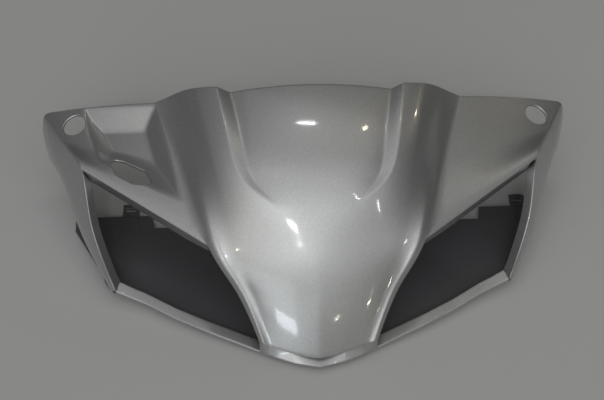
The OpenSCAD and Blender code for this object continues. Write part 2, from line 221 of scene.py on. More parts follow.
def side_points(v, j):
    """j runs 0 to 1 from the end crease to the side crease, 1 to 2 to the rim."""
    upper = mix(along(CREASE, v), along(SIDE_CREASE, v), np.minimum(j, 1)[:, None])
    lower = mix(along(SIDE_CREASE, v), along(SIDE_RIM, v), np.maximum(j - 1, 0)[:, None])
    bow = (4 * (j % 1) * (1 - j % 1))[:, None]
    upper += bow * np.array([0.8, 0, 0.4])
    lower += bow * np.array([0.8, 0, -0.4])
    return np.where(j[:, None] <= 1, upper, lower)


def skin_points(v, q, sunk):
    """Outer skin at v. In q the keel is 0, the step's foot and top 1 and 2, the shoulder 3,
    the valley 4, the end crease 5, the side crease 6 and the rim 7."""
    q = np.asarray(q, float)
    foot, top = look_up(STEP_PATH, v)[1:]
    x = np.interp(q, [0, 1, 2, 3], [0, foot, top, along(SHOULDER, v)[0]])
    p = nose_points(v, x)
    wing = recess_points if sunk else wing_points
    for start, end, part in ((3, 4, flank_points), (4, 5, wing), (5, 7, side_points)):
        here = (q > start) & (q <= end)
        if here.any():
            p[here] = part(v, q[here] - start)
    return p


# Each fold is rounded. Radius before and after the fold, in mm, and how many
# steps go round it; then the steps between one fold and the next.
FOLD_RADIUS = {1: 1.8, 2: 1.2, 3: 11.0, 4: 5.0, 5: 3.0, 6: 9.0}
FOLD_STEPS = {1: 4, 2: 4, 3: 7, 4: 5, 5: 4, 6: 4}
ZONE_STEPS = {0: 22, 1: 3, 2: 10, 3: 8, 5: 7, 6: 6}
EDGE_RADIUS = 0.12


def spread(*stops):
    """Numbers through the stops (value, count of steps to the next)."""
    out = []
    for (a, n), (b, _) in zip(stops, stops[1:]):
        out += [mix(a, b, k / n) for k in range(n)]
    return out + [stops[-1][0]]


WING_COLUMNS = spread((0.05, 1), (0.058, 12), (0.234, 20), (0.573, 11), (0.736, 12), (0.95, 1))
TOP_ROWS = spread((0, 3), (0.047, 10), (0.2, 20), (0.504, 13), (0.718, 16), (1, 1))
LOW_ROWS = spread((0.5, 36), (0.97, 1))
V_ROWS = [w / 2 for w in TOP_ROWS] + LOW_ROWS[1:]
ROW_K = len(TOP_ROWS) - 1


def names_across(v):
    """Place of every column at v, as q, with the fold that it rounds or 0."""
    chord = np.linalg.norm(np.diff(skin_points(v, range(8), False), axis=0), axis=1)
    reach = {}
    for fold, radius in FOLD_RADIUS.items():
        if fold in (4, 5):
            radius = mix(EDGE_RADIUS, radius, float(smooth((0.5 - v) / 0.05)))
        reach[fold] = (min(0.4, radius / chord[fold - 1]), min(0.4, radius / chord[fold]))
    out = []
    for zone in range(7):
        begin = zone + reach[zone][1] if zone else 0.0
        end = zone + 1 - reach[zone + 1][0] if zone < 6 else 7.0
        if zone:
            out += [(zone, t) for t in np.linspace(0, 1, FOLD_STEPS[zone] + 1)[1:-1]]
        if zone == 4:
            inner = np.clip(np.array(WING_COLUMNS[1:-1]), reach[4][1] + 0.002, 1 - reach[5][0] - 0.002)
            places = [begin] + list(4 + inner) + [end]
        else:
            places = np.linspace(begin, end, ZONE_STEPS[zone] + 1)
        out += [(0, q) for q in places]
    return out, reach


def row_across(v, sunk):
    names, reach = names_across(v)
    places = np.array([q for fold, q in names])
    folds = np.array([fold for fold, q in names])
    row = skin_points(v, np.where(folds == 0, places, 0), sunk)
    for fold, (before, after) in reach.items():
        a, f, b = skin_points(v, [fold - before, fold, fold + after], sunk)
        here = folds == fold
        t = places[here][:, None]
        row[here] = (1 - t) ** 2 * a + 2 * t * (1 - t) * f + t * t * b
    return row


NAMES = names_across(0.25)[0]
FOLDS = [fold for fold, q in NAMES]
C_VALLEY = FOLDS.index(4) - 1
C_CREASE = max(i for i, fold in enumerate(FOLDS) if fold == 5) + 1
C_RIM = len(FOLDS) - 1
COLS = 2 * C_RIM


def rounded(before, corner, after, radius, steps=3):
    """Loops of points that round a corner, from one side of it to the other."""
    ends = []
    for beside in (before, after):
        room = np.linalg.norm(beside - corner, axis=-1, keepdims=True)
        ends.append(corner + np.minimum(radius, 0.45 * room) * unit(beside - corner))
    a, b = ends
    turns = np.linspace(0, 1, steps + 1)
    return [(1 - t) ** 2 * a + 2 * t * (1 - t) * corner + t * t * b for t in turns]


# The nose's lower lip, and the lower rail's front and underside
NOSE_GAP, NOSE_LIP = np.array([0, 3, -0.5]), np.array([0, 2.2, -3.2])
NOSE_RADIUS, RAIL_RADIUS, UNDER_RADIUS = 0.8, 0.9, 1.2
RAIL_DEEP, RAIL_DEEP_OUT = 6.0, 1.2
RAIL_FRONT, RAIL_UNDER = np.array([0, 0.3, 0]), np.array([0, 1.8, 0])
SIDE_FOOT = np.array([174.5, 70.5, 15.5])
REAR_X, REAR_X_OUT = 200.0, 213.0
REAR_Z, REAR_Z_OUT = 8.0, 9.5


def half_grid(hand):
    """Rows of the skin down one half, and the number of the lower rail's row."""
    sunk = hand == "left"
    rows = [row_across(v, sunk) for v in V_ROWS]
    nose = row_across(1.0, sunk)
    columns = np.arange(C_RIM + 1)
    # where each column stands on the wing and on the side wall
    at_fold = {4: 4.0, 5: 5.0, 6: 5.5}
    q = np.array([at_fold.get(fold, place) for fold, place in names_across(1.0)[0]])
    q = np.where(columns <= C_VALLEY, np.minimum(q, 4), q)
    s = np.clip(q - 4, 0, 1)
    outer = np.clip(q - 5, 0, 2)[:, None] / 2
    rail_x = np.where(q < 4, nose[:, 0], mix(RAIL[3][0], RAIL_END, s))
    rail = np.stack([np.interp(rail_x, [p[0] for p in RAIL], [p[k] for p in RAIL]) for k in range(3)], 1)
    rail = np.where(q[:, None] > 5, mix(np.array(RAIL[7], float), SIDE_FOOT, outer), rail)
    under_nose = (columns <= C_VALLEY)[:, None]
    gap = np.where(under_nose, nose + NOSE_GAP, mix(nose, rail, 1 / 3))
    lip = np.where(under_nose, nose + NOSE_LIP, mix(nose, rail, 2 / 3))
    drop = mix(RAIL_DEEP, RAIL_DEEP_OUT, outer)
    down = np.array([0, 0, -1.0])
    front = rail + RAIL_FRONT + drop * 0.55 * down
    under = rail + RAIL_UNDER + drop * down
    rows += rounded(rows[-1], nose, gap, NOSE_RADIUS) + [gap, lip]
    rail_row = len(rows) + 1
    turn = rounded(lip, rail, front, RAIL_RADIUS, 2)
    below_window = (columns > C_VALLEY) & (columns < C_CREASE)
    turn[1][C_VALLEY : C_CREASE + 1] = rail[C_VALLEY : C_CREASE + 1]
    turn[2][below_window] = mix(rail, front, 0.6)[below_window]
    rows += turn + [front]
    # rear edge: the middle, then the tongue that carries the clip tab
    step = TONGUE_STEP[hand]
    rear_x = np.where(q < 4, mix(0, STEM_HALF + 6, columns / C_VALLEY),
                      np.interp(s, [0, 0.573, 0.588, 1], [STEM_HALF + 6, step, step + 3, REAR_X]))
    rear_x = np.where(q > 5, mix(REAR_X, REAR_X_OUT, outer[:, 0]), rear_x)
    notch = STEM_DEEP * np.sqrt(np.maximum(0, 1 - (rear_x / STEM_HALF) ** 2))
    rear_z = mix(REAR_Z, REAR_Z_OUT, smooth(rear_x / 150))
    rear = np.stack([rear_x, FLOOR_DEPTH - notch, rear_z], 1)
    tongue = np.where(s > 0.58, TONGUE_OUT, 0)
    back = [mix(rail, rear, t) + drop * (1 - smooth((t - 0.05) / 0.95)) * down
            for t in spread((0.13, 11), (0.9, 2), (0.98, 1))]
    rows += rounded(front, under, back[0], UNDER_RADIUS) + back
    end = rear.copy()
    end[:, 1] += tongue
    for share in (0.25, 0.5, 0.75, 1):
        rows.append(mix(back[-1], end, share))
    return np.array(rows), rail_row


right, ROW_RAIL = half_grid("right")
left, _ = half_grid("left")
ROWS = len(right) - 1
skin = np.zeros((ROWS + 1, COLS + 1, 3))
skin[:, C_RIM:] = right
skin[:, : C_RIM + 1] = left[:, ::-1] * np.array([-1, 1, 1])


def column_of(k):
    return C_RIM - k - 1 if k < C_RIM else k - C_RIM


def in_opening(r, k):
    return ROW_K <= r < ROW_RAIL and C_VALLEY <= column_of(k) < C_CREASE


# Mean outward normal of the cells that meet at each point, and the lining that
# lies one wall further in. Below the wings the step inwards is evened out, so
# that the lining doesn't cross itself at the tight corners.
cell = unit(np.cross(skin[1:, 1:] - skin[:-1, :-1], skin[:-1, 1:] - skin[1:, :-1]))
for k in range(COLS):
    if C_VALLEY <= column_of(k) < C_CREASE:
        cell[ROW_K:ROW_RAIL, k] = 0
total = np.zeros_like(skin)
total[:-1, :-1] += cell
total[:-1, 1:] += cell
total[1:, :-1] += cell
total[1:, 1:] += cell
normal = unit(total)
lean = np.ones(skin.shape[:2])
for dr in (0, 1):
    for dk in (0, 1):
        part = np.zeros_like(skin)
        part[dr : ROWS + dr, dk : COLS + dk] = cell
        dot = (part * normal).sum(2)
        lean = np.where(np.linalg.norm(part, axis=2) > 0.5, np.minimum(lean, dot), lean)
shift = WALL * normal / np.maximum(lean, 0.6)[..., None]
low_rows = slice(len(V_ROWS) - 2, None)
for _ in range(4):
    even = shift.copy()
    beside = shift[:-2, 1:-1] + shift[2:, 1:-1] + shift[1:-1, :-2] + shift[1:-1, 2:]
    even[1:-1, 1:-1] = beside / 4
    shift[low_rows] = (shift / 2 + even / 2)[low_rows]
lining = skin - shift

# Returns round the openings. Each edge gives how far the return turns in and
# which way its back faces, at places counted from 0 to 11 along the edge.
TOP_TURN = {0: (-4, 3, -9), 1: (0, 2, -12), 10: (0, 2, -12), 11: (-7.5, -3.4, -12.7)}
TOP_BACK = {0: (-1, 0.5, 0.3), 1: (0, 0.98, 0.2), 10: (0, 0.98, 0.2), 11: (0.5, 0.8, 0.2)}
POST_TURN = {0: (-7.5, -3.4, -12.7), 1: (-5.5, 6, -4), 7: (-5.5, 6, -4), 8: (-3.8, 10, -0.5),
             11: (-3, 10.5, 0.5)}
POST_BACK = {0: (0.5, 0.8, 0.2), 1: (0.74, 0.67, 0), 10: (0.74, 0.67, 0), 11: (0.5, 0.3, -0.8)}
RAIL_TURN = {0: (-3, 10.5, 0.5), 1: (0, 11, 0.5), 10: (0, 11, 0.5), 11: (-1, 11, 0)}
RAIL_BACK = {0: (0.5, 0.3, -0.8), 1: (0, 0, -1), 10: (0, 0, -1), 11: (-0.8, 0, -0.8)}
NOSE_TURN = {0: (-4, 3, -9), 1: (-2, 9, -4), 8: (-2, 9, -4), 9: (-1.5, 6.4, -6), 10: (-1.3, 7.2, -5.8),
             11: (-1, 11, 0)}
NOSE_BACK = {0: (-1, 0.5, 0.3), 1: (-0.95, -0.1, -0.1), 10: (-0.95, -0.1, -0.1), 11: (-0.8, 0, -0.8)}


def by_place(table, place):
    keys = sorted(table)
    return np.array([np.interp(place, keys, [table[k][i] for k in keys]) for i in range(3)])


def place_down(r):
    """Place of a row along the post or the nose's edge, from 0 to 11."""
    if r < len(V_ROWS):
        return float(np.interp(V_ROWS[r], [0.5, 0.6, 0.95, 1], [0, 1, 7, 8]))
    return float(np.interp(r, [len(V_ROWS), len(V_ROWS) + 3, len(V_ROWS) + 4, ROW_RAIL - 2, ROW_RAIL],
                           [7.9, 8.2, 9, 10, 11]))


def place_across(k, left_hand):
    fold, q = NAMES[C_RIM - k if left_hand else k - C_RIM]
    s = {0: q - 4, 4: 0.0, 5: 1.0}[fold]
    return float(np.interp(s, [0, 0.058, 0.86, 1], [0, 1, 10, 11]))


def opening_edge(left_hand):
    """Grid points round an opening in order, each with its turn and its back."""
    a, b = (C_RIM - C_VALLEY, C_RIM - C_CREASE) if left_hand else (C_RIM + C_VALLEY, C_RIM + C_CREASE)
    d = -1 if left_hand else 1
    flip = np.array([-1, 1, 1]) if left_hand else np.ones(3)
    loop, turns, backs, inward = [], [], [], []

    def add(r, k, turn_table, back_table, place, step):
        loop.append((r, k))
        turns.append(by_place(turn_table, place) * flip)
        backs.append(unit(by_place(back_table, place)) * flip)
        inward.append((r + step[0], k + step[1] * d))

    for k in range(a, b, d):
        add(ROW_K, k, TOP_TURN, TOP_BACK, place_across(k, left_hand), (-1, -1 if k == a else 0))
    for r in range(ROW_K, ROW_RAIL):
        add(r, b, POST_TURN, POST_BACK, place_down(r), (-1 if r == ROW_K else 0, 1))
    for k in range(b, a, -d):
        place = 11 - place_across(k, left_hand)
        add(ROW_RAIL, k, RAIL_TURN, RAIL_BACK, place, (1, 1 if k == b else 0))
    for r in range(ROW_RAIL, ROW_K, -1):
        add(r, a, NOSE_TURN, NOSE_BACK, place_down(r), (1 if r == ROW_RAIL else 0, -1))
    return loop, np.array(turns), np.array(backs), inward


points = [skin.reshape(-1, 3).copy(), lining.reshape(-1, 3).copy()]
per = COLS + 1
n_grid = (ROWS + 1) * per
faces, kinds = [], []
PAINT, BARE = 0, 1


def add_loop(loop_points):
    """Stores a loop of points and gives their numbers."""
    first = sum(len(p) for p in points)
    points.append(loop_points)
    return list(range(first, first + len(loop_points)))


def skin_strip(loops, flip, kind):
    """Faces between neighbouring closed loops of point numbers."""
    for one, two in zip(loops, loops[1:]):
        for i in range(len(one)):
            j = (i + 1) % len(one)
            face = [one[i], one[j], two[j], two[i]]
            faces.append(face[::-1] if flip else face)
            kinds.append(kind)


for r in range(ROWS):
    for k in range(COLS):
        if in_opening(r, k):
            continue
        a, b, c, d = r * per + k, r * per + k + 1, (r + 1) * per + k + 1, (r + 1) * per + k
        faces.append([d, c, b, a])
        kinds.append(PAINT)
        faces.append([n_grid + a, n_grid + b, n_grid + c, n_grid + d])
        kinds.append(BARE)

OPENING_RADIUS, TIP_RADIUS, RIM_RADIUS = 0.9, 0.55, 0.6
for left_hand in (True, False):
    loop, turns, backs, inward = opening_edge(left_hand)
    rows, ks = np.array(loop).T
    edge = skin[rows, ks]
    beside = skin[tuple(np.array(inward).T)]
    up = normal[rows, ks]
    face_back = (up * backs).sum(1, keepdims=True)
    inner = edge + WALL * (backs - up) / (1 + np.maximum(-0.4, -face_back))
    points[1][rows * per + ks] = inner
    tip = edge + turns
    tip_back = tip + WALL * backs
    first = rounded(beside, edge, tip, OPENING_RADIUS)
    second = rounded(edge, tip, tip_back, TIP_RADIUS)
    third = rounded(tip, tip_back, inner, TIP_RADIUS)
    points[0][rows * per + ks] = first[0]
    near = [first[-1] + 1.2 * unit(tip - edge), second[0] + 1.2 * unit(edge - tip)]
    numbers = [list(rows * per + ks)] + [add_loop(p) for p in first[1:] + near + second + third]
    skin_strip(numbers, left_hand, PAINT)
    skin_strip([numbers[-1], list(n_grid + rows * per + ks)], left_hand, BARE)

# Free edge all round the shell
rim = ([(0, k) for k in range(COLS)] + [(r, COLS) for r in range(ROWS)]
       + [(ROWS, k) for k in range(COLS, 0, -1)] + [(r, 0) for r in range(ROWS, 0, -1)])
rows, ks = np.array(rim).T
beside = (np.clip(rows, 1, ROWS - 1), np.clip(ks, 1, COLS - 1))
edge, inner = skin[rows, ks], points[1][rows * per + ks]
first = rounded(skin[beside], edge, inner, RIM_RADIUS)
second = rounded(edge, inner, points[1][beside[0] * per + beside[1]], RIM_RADIUS)
points[0][rows * per + ks] = first[0]
points[1][rows * per + ks] = second[-1]
numbers = ([list(rows * per + ks)] + [add_loop(p) for p in first[1:] + second[:-1]]
           + [list(n_grid + rows * per + ks)])
skin_strip(numbers, False, PAINT)

shell_mesh = bpy.data.meshes.new("shell")
shell_mesh.from_pydata(((np.vstack(points) - ORIGIN) * MM).tolist(), [], faces)
shell_mesh.polygons.foreach_set("material_index", kinds)
tidy = bmesh.new()
tidy.from_mesh(shell_mesh)
bmesh.ops.delete(tidy, geom=[v for v in tidy.verts if not v.link_faces], context="VERTS")
tidy.to_mesh(shell_mesh)
surface = BVHTree.FromBMesh(tidy)
tidy.free()
shell = bpy.data.objects.new("shell", shell_mesh)
bpy.context.scene.collection.objects.link(shell)


# Silver base coat with fine metal flake under a clear coat
silver = bpy.data.materials.new("silver_base_and_clear")
silver.use_nodes = True
nodes, links = silver.node_tree.nodes, silver.node_tree.links
paint = nodes["Principled BSDF"]
paint.inputs["Metallic"].default_value = 0.85
paint.inputs["Coat Weight"].default_value = 1.0
paint.inputs["Coat Roughness"].default_value = 0.07
paint.inputs["Coat IOR"].default_value = 1.5
where = nodes.new("ShaderNodeTexCoord")
flake = nodes.new("ShaderNodeTexVoronoi")
flake.inputs["Scale"].default_value = 1900
shade = nodes.new("ShaderNodeValToRGB")
shade.color_ramp.elements[0].color = (0.34, 0.343, 0.34, 1)
shade.color_ramp.elements[1].color = (0.45, 0.455, 0.452, 1)
links.new(where.outputs["Object"], flake.inputs["Vector"])
links.new(flake.outputs["Color"], shade.inputs["Fac"])
links.new(shade.outputs["Color"], paint.inputs["Base Color"])
film = nodes.new("ShaderNodeTexNoise")
film.inputs["Scale"].default_value = 9
film_range = nodes.new("ShaderNodeMapRange")
film_range.inputs["To Min"].default_value = 0.36
film_range.inputs["To Max"].default_value = 0.42
links.new(where.outputs["Object"], film.inputs["Vector"])
links.new(film.outputs["Fac"], film_range.inputs["Value"])
links.new(film_range.outputs["Result"], paint.inputs["Roughness"])
peel = nodes.new("ShaderNodeTexNoise")
peel.inputs["Scale"].default_value = 420
relief = nodes.new("ShaderNodeBump")
relief.inputs["Strength"].default_value = 0.03
relief.inputs["Distance"].default_value = 0.0004
links.new(where.outputs["Object"], peel.inputs["Vector"])
links.new(peel.outputs["Fac"], relief.inputs["Height"])
links.new(relief.outputs["Normal"], paint.inputs["Normal"])

# Bare dark ABS on the inside, with a faint grain and the flow marks of moulding
bare = bpy.data.materials.new("bare_dark_abs")
bare.use_nodes = True
nodes, links = bare.node_tree.nodes, bare.node_tree.links
plastic = nodes["Principled BSDF"]
where = nodes.new("ShaderNodeTexCoord")
cloud = nodes.new("ShaderNodeTexNoise")
cloud.inputs["Scale"].default_value = 14
cloud.inputs["Detail"].default_value = 4
tone = nodes.new("ShaderNodeValToRGB")
tone.color_ramp.elements[0].color = (0.056, 0.053, 0.057, 1)
tone.color_ramp.elements[1].color = (0.092, 0.088, 0.096, 1)
links.new(where.outputs["Object"], cloud.inputs["Vector"])
links.new(cloud.outputs["Fac"], tone.inputs["Fac"])
links.new(tone.outputs["Color"], plastic.inputs["Base Color"])
gloss = nodes.new("ShaderNodeMapRange")
gloss.inputs["To Min"].default_value = 0.26
gloss.inputs["To Max"].default_value = 0.42
links.new(cloud.outputs["Fac"], gloss.inputs["Value"])
links.new(gloss.outputs["Result"], plastic.inputs["Roughness"])
grain = nodes.new("ShaderNodeTexNoise")
grain.inputs["Scale"].default_value = 1500
relief = nodes.new("ShaderNodeBump")
relief.inputs["Strength"].default_value = 0.1
relief.inputs["Distance"].default_value = 0.0003
links.new(where.outputs["Object"], grain.inputs["Vector"])
links.new(grain.outputs["Fac"], relief.inputs["Height"])
links.new(relief.outputs["Normal"], plastic.inputs["Normal"])
shell_mesh.materials.append(silver)
shell_mesh.materials.append(bare)


# Holes through the wings: a mirror-stem hole in each, and the cable slot at the
# foot of the recess. Their edges are rounded right round, as moulded and painted.
MIRROR_RADIUS = 10.25
MIRROR_PLACE = (0.12, 0.805)
SLOT_RADIUS = 4.0
SLOT_SQUARE_TO = (0.32, 0.48)
SLOT_CORNERS = [(0.585, 0.6), (0.54, 0.595), (0.38, 0.625), (0.365, 0.7), (0.473, 0.742), (0.59, 0.727)]
EDGE = WALL / 2
HOLE_REACH, SLOT_REACH = 0.014, 0.02


def on_hand(p, left_hand):
    """The same point or way on the right or the left half."""
    return p * np.array([-1, 1, 1]) if left_hand else p


def hull_of(flat):
    """Outline of a set of flat points, anticlockwise."""
    flat = sorted(set(flat))

    def half(pts):
        out = []
        for p in pts:
            while len(out) > 1 and ((out[-1][0] - out[-2][0]) * (p[1] - out[-2][1])
                                    - (out[-1][1] - out[-2][1]) * (p[0] - out[-2][0])) <= 0:
                out.pop()
            out.append(p)
        return out[:-1]

    return half(flat) + half(flat[::-1])


def ring_points(centres, radius, count):
    """Outline round a set of centres, in mm, as in a hull of discs."""
    turns = np.linspace(0, 2 * math.pi, count, endpoint=False)
    return hull_of([(round(x + radius * math.cos(a), 6), round(y + radius * math.sin(a), 6))
                    for x, y in centres for a in turns])


def evenly(outline, gap):
    """The same closed outline with its points a set distance apart."""
    ring = np.array(outline + outline[:1])
    length = np.concatenate([[0], np.cumsum(np.linalg.norm(np.diff(ring, axis=0), axis=1))])
    count = max(24, int(length[-1] / gap))
    at = np.linspace(0, length[-1], count, endpoint=False)
    return np.stack([np.interp(at, length, ring[:, k]) for k in (0, 1)], 1)


def edge_bead(outline, place):
    """Rounded edge of a hole: a round section that follows the wall's middle."""
    axis = (place.to_3x3() @ Vector((0, 0, 1))).normalized()
    middle, ups = [], []
    for x, y in outline:
        start = place @ Vector((x * MM, y * MM, HOLE_REACH))
        spot, up, _, _ = surface.ray_cast(start, -axis, 0.04)
        middle.append(np.array(spot - up * EDGE * MM))
        ups.append(np.array(up))
    middle, ups = np.array(middle), np.array(ups)
    for _ in range(3):
        middle = (np.roll(middle, 1, 0) + 2 * middle + np.roll(middle, -1, 0)) / 4
        ups = unit(np.roll(ups, 1, 0) + 2 * ups + np.roll(ups, -1, 0))
    way = unit(np.roll(middle, -1, 0) - np.roll(middle, 1, 0))
    out = np.cross(ups, way)
    mesh = bpy.data.meshes.new("edge_bead")
    sides = 14
    ring = [middle + EDGE * 1.01 * MM * (math.cos(a) * out + math.sin(a) * ups)
            for a in np.linspace(0, 2 * math.pi, sides, endpoint=False)]
    n = len(middle)
    quads = [(i * n + j, i * n + (j + 1) % n, (i + 1) % sides * n + (j + 1) % n, (i + 1) % sides * n + j)
             for i in range(sides) for j in range(n)]
    mesh.from_pydata(np.vstack(ring).tolist(), [], quads)
    m = bmesh.new()
    m.from_mesh(mesh)
    bmesh.ops.recalc_face_normals(m, faces=m.faces)
    m.to_mesh(mesh)
    m.free()
    bead = bpy.data.objects.new("edge_bead", mesh)
    bpy.context.scene.collection.objects.link(bead)
    mesh.materials.append(silver)
    return bead


def punch(outline, place, deep):
    """A straight punch of that outline, in mm, set into place."""
    m = bmesh.new()
    low = [m.verts.new((x * MM, y * MM, -deep)) for x, y in outline]
    high = [m.verts.new((x * MM, y * MM, deep)) for x, y in outline]
    m.faces.new(low[::-1])
    m.faces.new(high)
    for i in range(len(outline)):
        j = (i + 1) % len(outline)
        m.faces.new([low[i], low[j], high[j], high[i]])
    m.transform(place)
    bmesh.ops.recalc_face_normals(m, faces=m.faces)
    mesh = bpy.data.meshes.new("punch")
    m.to_mesh(mesh)
    m.free()
    o = bpy.data.objects.new("punch", mesh)
    bpy.context.scene.collection.objects.link(o)
    return o


def square_to(out_way, at):
    """Place at a point, in mm, with its Z axis along the way out of the wing."""
    turn = Vector(out_way.tolist()).to_track_quat("Z", "Y").to_matrix().to_4x4()
    return Matrix.Translation(Vector(((at - ORIGIN) * MM).tolist())) @ turn


punches, beads = [], []
v_hole, s_hole = np.array([MIRROR_PLACE[0]]), np.array([MIRROR_PLACE[1]])
for left_hand in (False, True):
    at = on_hand(wing_surface(v_hole, s_hole)[0], left_hand)
    place = square_to(on_hand(wing_normals(v_hole, s_hole)[0], left_hand), at)
    wide = ring_points([(0, 0)], MIRROR_RADIUS + EDGE, 96)
    beads.append(edge_bead(evenly(wide, 0.7), place))
    punches.append((punch(wide, place, HOLE_REACH), left_hand))

slot_way = on_hand(wing_normals(*np.array(SLOT_SQUARE_TO)[:, None])[0], True)
slot_places = np.array(SLOT_CORNERS)
slot_at = on_hand(wing_surface(slot_places[:, 1] / 2, slot_places[:, 0]), True)
slot_at = slot_at - slot_way * RECESS_DEPTH / 2
place = square_to(slot_way, slot_at[0])
flat = [(place.inverted() @ Vector(((p - ORIGIN) * MM).tolist())) / MM for p in slot_at]
wide = ring_points([(p.x, p.y) for p in flat], SLOT_RADIUS + EDGE, 48)
beads.append(edge_bead(evenly(wide, 0.8), place))
punches.append((punch(wide, place, SLOT_REACH), False))

# the left mirror hole is close beside the recess, so that cut also allows for
# the folds of the lining there
for o, by_recess in punches:
    cut = shell.modifiers.new("cut", "BOOLEAN")
    cut.operation = "DIFFERENCE"
    cut.solver = "EXACT"
    cut.use_self = by_recess
    cut.object = o
done = bpy.data.meshes.new_from_object(shell.evaluated_get(bpy.context.evaluated_depsgraph_get()))
shell.modifiers.clear()
joined = bmesh.new()
joined.from_mesh(done)
for bead in beads:
    joined.from_mesh(bead.data)
joined.to_mesh(done)
joined.free()
shell.data = done
for o in [made for made, _ in punches] + beads:
    bpy.data.objects.remove(o)
done.polygons.foreach_set("use_smooth", [True] * len(done.polygons))
done.set_sharp_from_angle(angle=math.radians(40))
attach(shell, "root")
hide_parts("lamp_cover")


# Clip tabs, moulded with the bottom wall and left bare: a flat loop with a slot
# that a hook on the rear cover snaps into, a bar across its foot and three ribs.
TAB_PLACES = {"right": 199.0, "left": -163.0}
TAB_WIDE, TAB_BACK, TAB_FRONT, TAB_LOW = 15.0, 171.0, 150.0, 8.0
TAB_RADIUS, TAB_EDGE = 4.0, 0.4
SLOT_HALF, SLOT_BACK, SLOT_FRONT, SLOT_CORNER = 4.5, 166.0, 162.3, 1.0
BAR_Y = 157.0


def arc_corner(cx, cy, r, start, count=6):
    """Points round a quarter of a circle, from the start angle in degrees."""
    return [(cx + r * math.cos(math.radians(start + 90 * i / count)),
             cy + r * math.sin(math.radians(start + 90 * i / count))) for i in range(count + 1)]


def round_oblong(half, front, back, front_radius, back_radius):
    """Outline of an oblong with rounded corners, anticlockwise."""
    return (arc_corner(half - back_radius, back - back_radius, back_radius, 0)
            + arc_corner(-half + back_radius, back - back_radius, back_radius, 90)
            + arc_corner(-half + front_radius, front + front_radius, front_radius, 180)
            + arc_corner(half - front_radius, front + front_radius, front_radius, 270))


def add_soft_box(m, low, high, radius=0.35):
    """A bar with rounded edges, in mm, added to a mesh."""
    made = bmesh.ops.create_cube(m, size=1.0)["verts"]
    size, middle = (Vector(high) - Vector(low)), (Vector(high) + Vector(low)) / 2
    for v in made:
        v.co = Vector((v.co.x * size.x, v.co.y * size.y, v.co.z * size.z)) + middle
    edges = list({e for v in made for e in v.link_edges})
    bmesh.ops.bevel(m, geom=edges, offset=radius, segments=2, profile=0.5, affect="EDGES")


def bare_piece(name, m):
    """Turns a mesh in mm of the drawing into a finished piece of bare ABS."""
    m.transform(Matrix.Translation(Vector((-ORIGIN * MM).tolist())) @ Matrix.Scale(MM, 4))
    mesh = bpy.data.meshes.new(name)
    m.to_mesh(mesh)
    m.free()
    mesh.materials.append(bare)
    mesh.polygons.foreach_set("use_smooth", [True] * len(mesh.polygons))
    mesh.set_sharp_from_angle(angle=math.radians(40))
    o = bpy.data.objects.new(name, mesh)
    bpy.context.scene.collection.objects.link(o)
    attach(o, "root")
    return o


tabs = bmesh.new()
for x in TAB_PLACES.values():
    half = TAB_WIDE / 2
    outer = round_oblong(half, TAB_FRONT, TAB_BACK, TAB_EDGE, TAB_RADIUS)
    hole = round_oblong(SLOT_HALF, SLOT_FRONT, SLOT_BACK, SLOT_CORNER, SLOT_CORNER)
    rings = []
    for outline, inset in ((outer, TAB_EDGE), (hole, -TAB_EDGE)):
        scaled = []
        cx, cy = 0, (max(p[1] for p in outline) + min(p[1] for p in outline)) / 2
        wide = max(p[0] for p in outline)
        tall = max(p[1] for p in outline) - cy
        tab_top = TAB_LOW + WALL
        for z, back in ((TAB_LOW, 1), (TAB_LOW + TAB_EDGE, 0), (tab_top - TAB_EDGE, 0), (tab_top, 1)):
            fx, fy = 1 - back * inset / wide, 1 - back * inset / tall
            scaled.append([tabs.verts.new((x + px * fx, cy + (py - cy) * fy, z)) for px, py in outline])
        rings.append(scaled)
    n = len(outer)
    for i in range(n):
        j = (i + 1) % n
        for level in range(3):
            a, b = rings[0][level], rings[0][level + 1]
            tabs.faces.new([a[i], a[j], b[j], b[i]])
            a, b = rings[1][level], rings[1][level + 1]
            tabs.faces.new([a[j], a[i], b[i], b[j]])
        a, b = rings[0][3], rings[1][3]
        tabs.faces.new([a[i], a[j], b[j], b[i]])
        a, b = rings[0][0], rings[1][0]
        tabs.faces.new([a[j], a[i], b[i], b[j]])
    add_soft_box(tabs, (x - half, BAR_Y - 1, TAB_LOW), (x + half, BAR_Y + 1, TAB_LOW + 5.4))
    add_soft_box(tabs, (x - half, TAB_BACK - 2.2, TAB_LOW + 1),
                 (x + half - 3, TAB_BACK - 1, TAB_LOW + 3.2))
bmesh.ops.recalc_face_normals(tabs, faces=tabs.faces)
bare_piece("clip_tabs", tabs)

# Ribs that stiffen the root of each tab, moulded on the bottom wall and left bare.
# Three stand side by side at an even pitch under each tab's foot.
rib_tree = bpy.data.node_groups.new("rib_row", "GeometryNodeTree")
for name, kind in (("Count", "NodeSocketInt"), ("Start", "NodeSocketVector"),
                   ("Pitch", "NodeSocketVector"), ("Size", "NodeSocketVector"),
                   ("Material", "NodeSocketMaterial")):
    rib_tree.interface.new_socket(name, in_out="INPUT", socket_type=kind)
rib_tree.interface.new_socket("Geometry", in_out="OUTPUT", socket_type="NodeSocketGeometry")
nodes, links = rib_tree.nodes, rib_tree.links
given, result = nodes.new("NodeGroupInput"), nodes.new("NodeGroupOutput")
line = nodes.new("GeometryNodeMeshLine")
line.mode = "OFFSET"
block = nodes.new("GeometryNodeMeshCube")
put = nodes.new("GeometryNodeInstanceOnPoints")
real = nodes.new("GeometryNodeRealizeInstances")
coat = nodes.new("GeometryNodeSetMaterial")
links.new(given.outputs["Count"], line.inputs["Count"])
links.new(given.outputs["Start"], line.inputs["Start Location"])
links.new(given.outputs["Pitch"], line.inputs["Offset"])
links.new(given.outputs["Size"], block.inputs["Size"])
links.new(line.outputs["Mesh"], put.inputs["Points"])
links.new(block.outputs["Mesh"], put.inputs["Instance"])
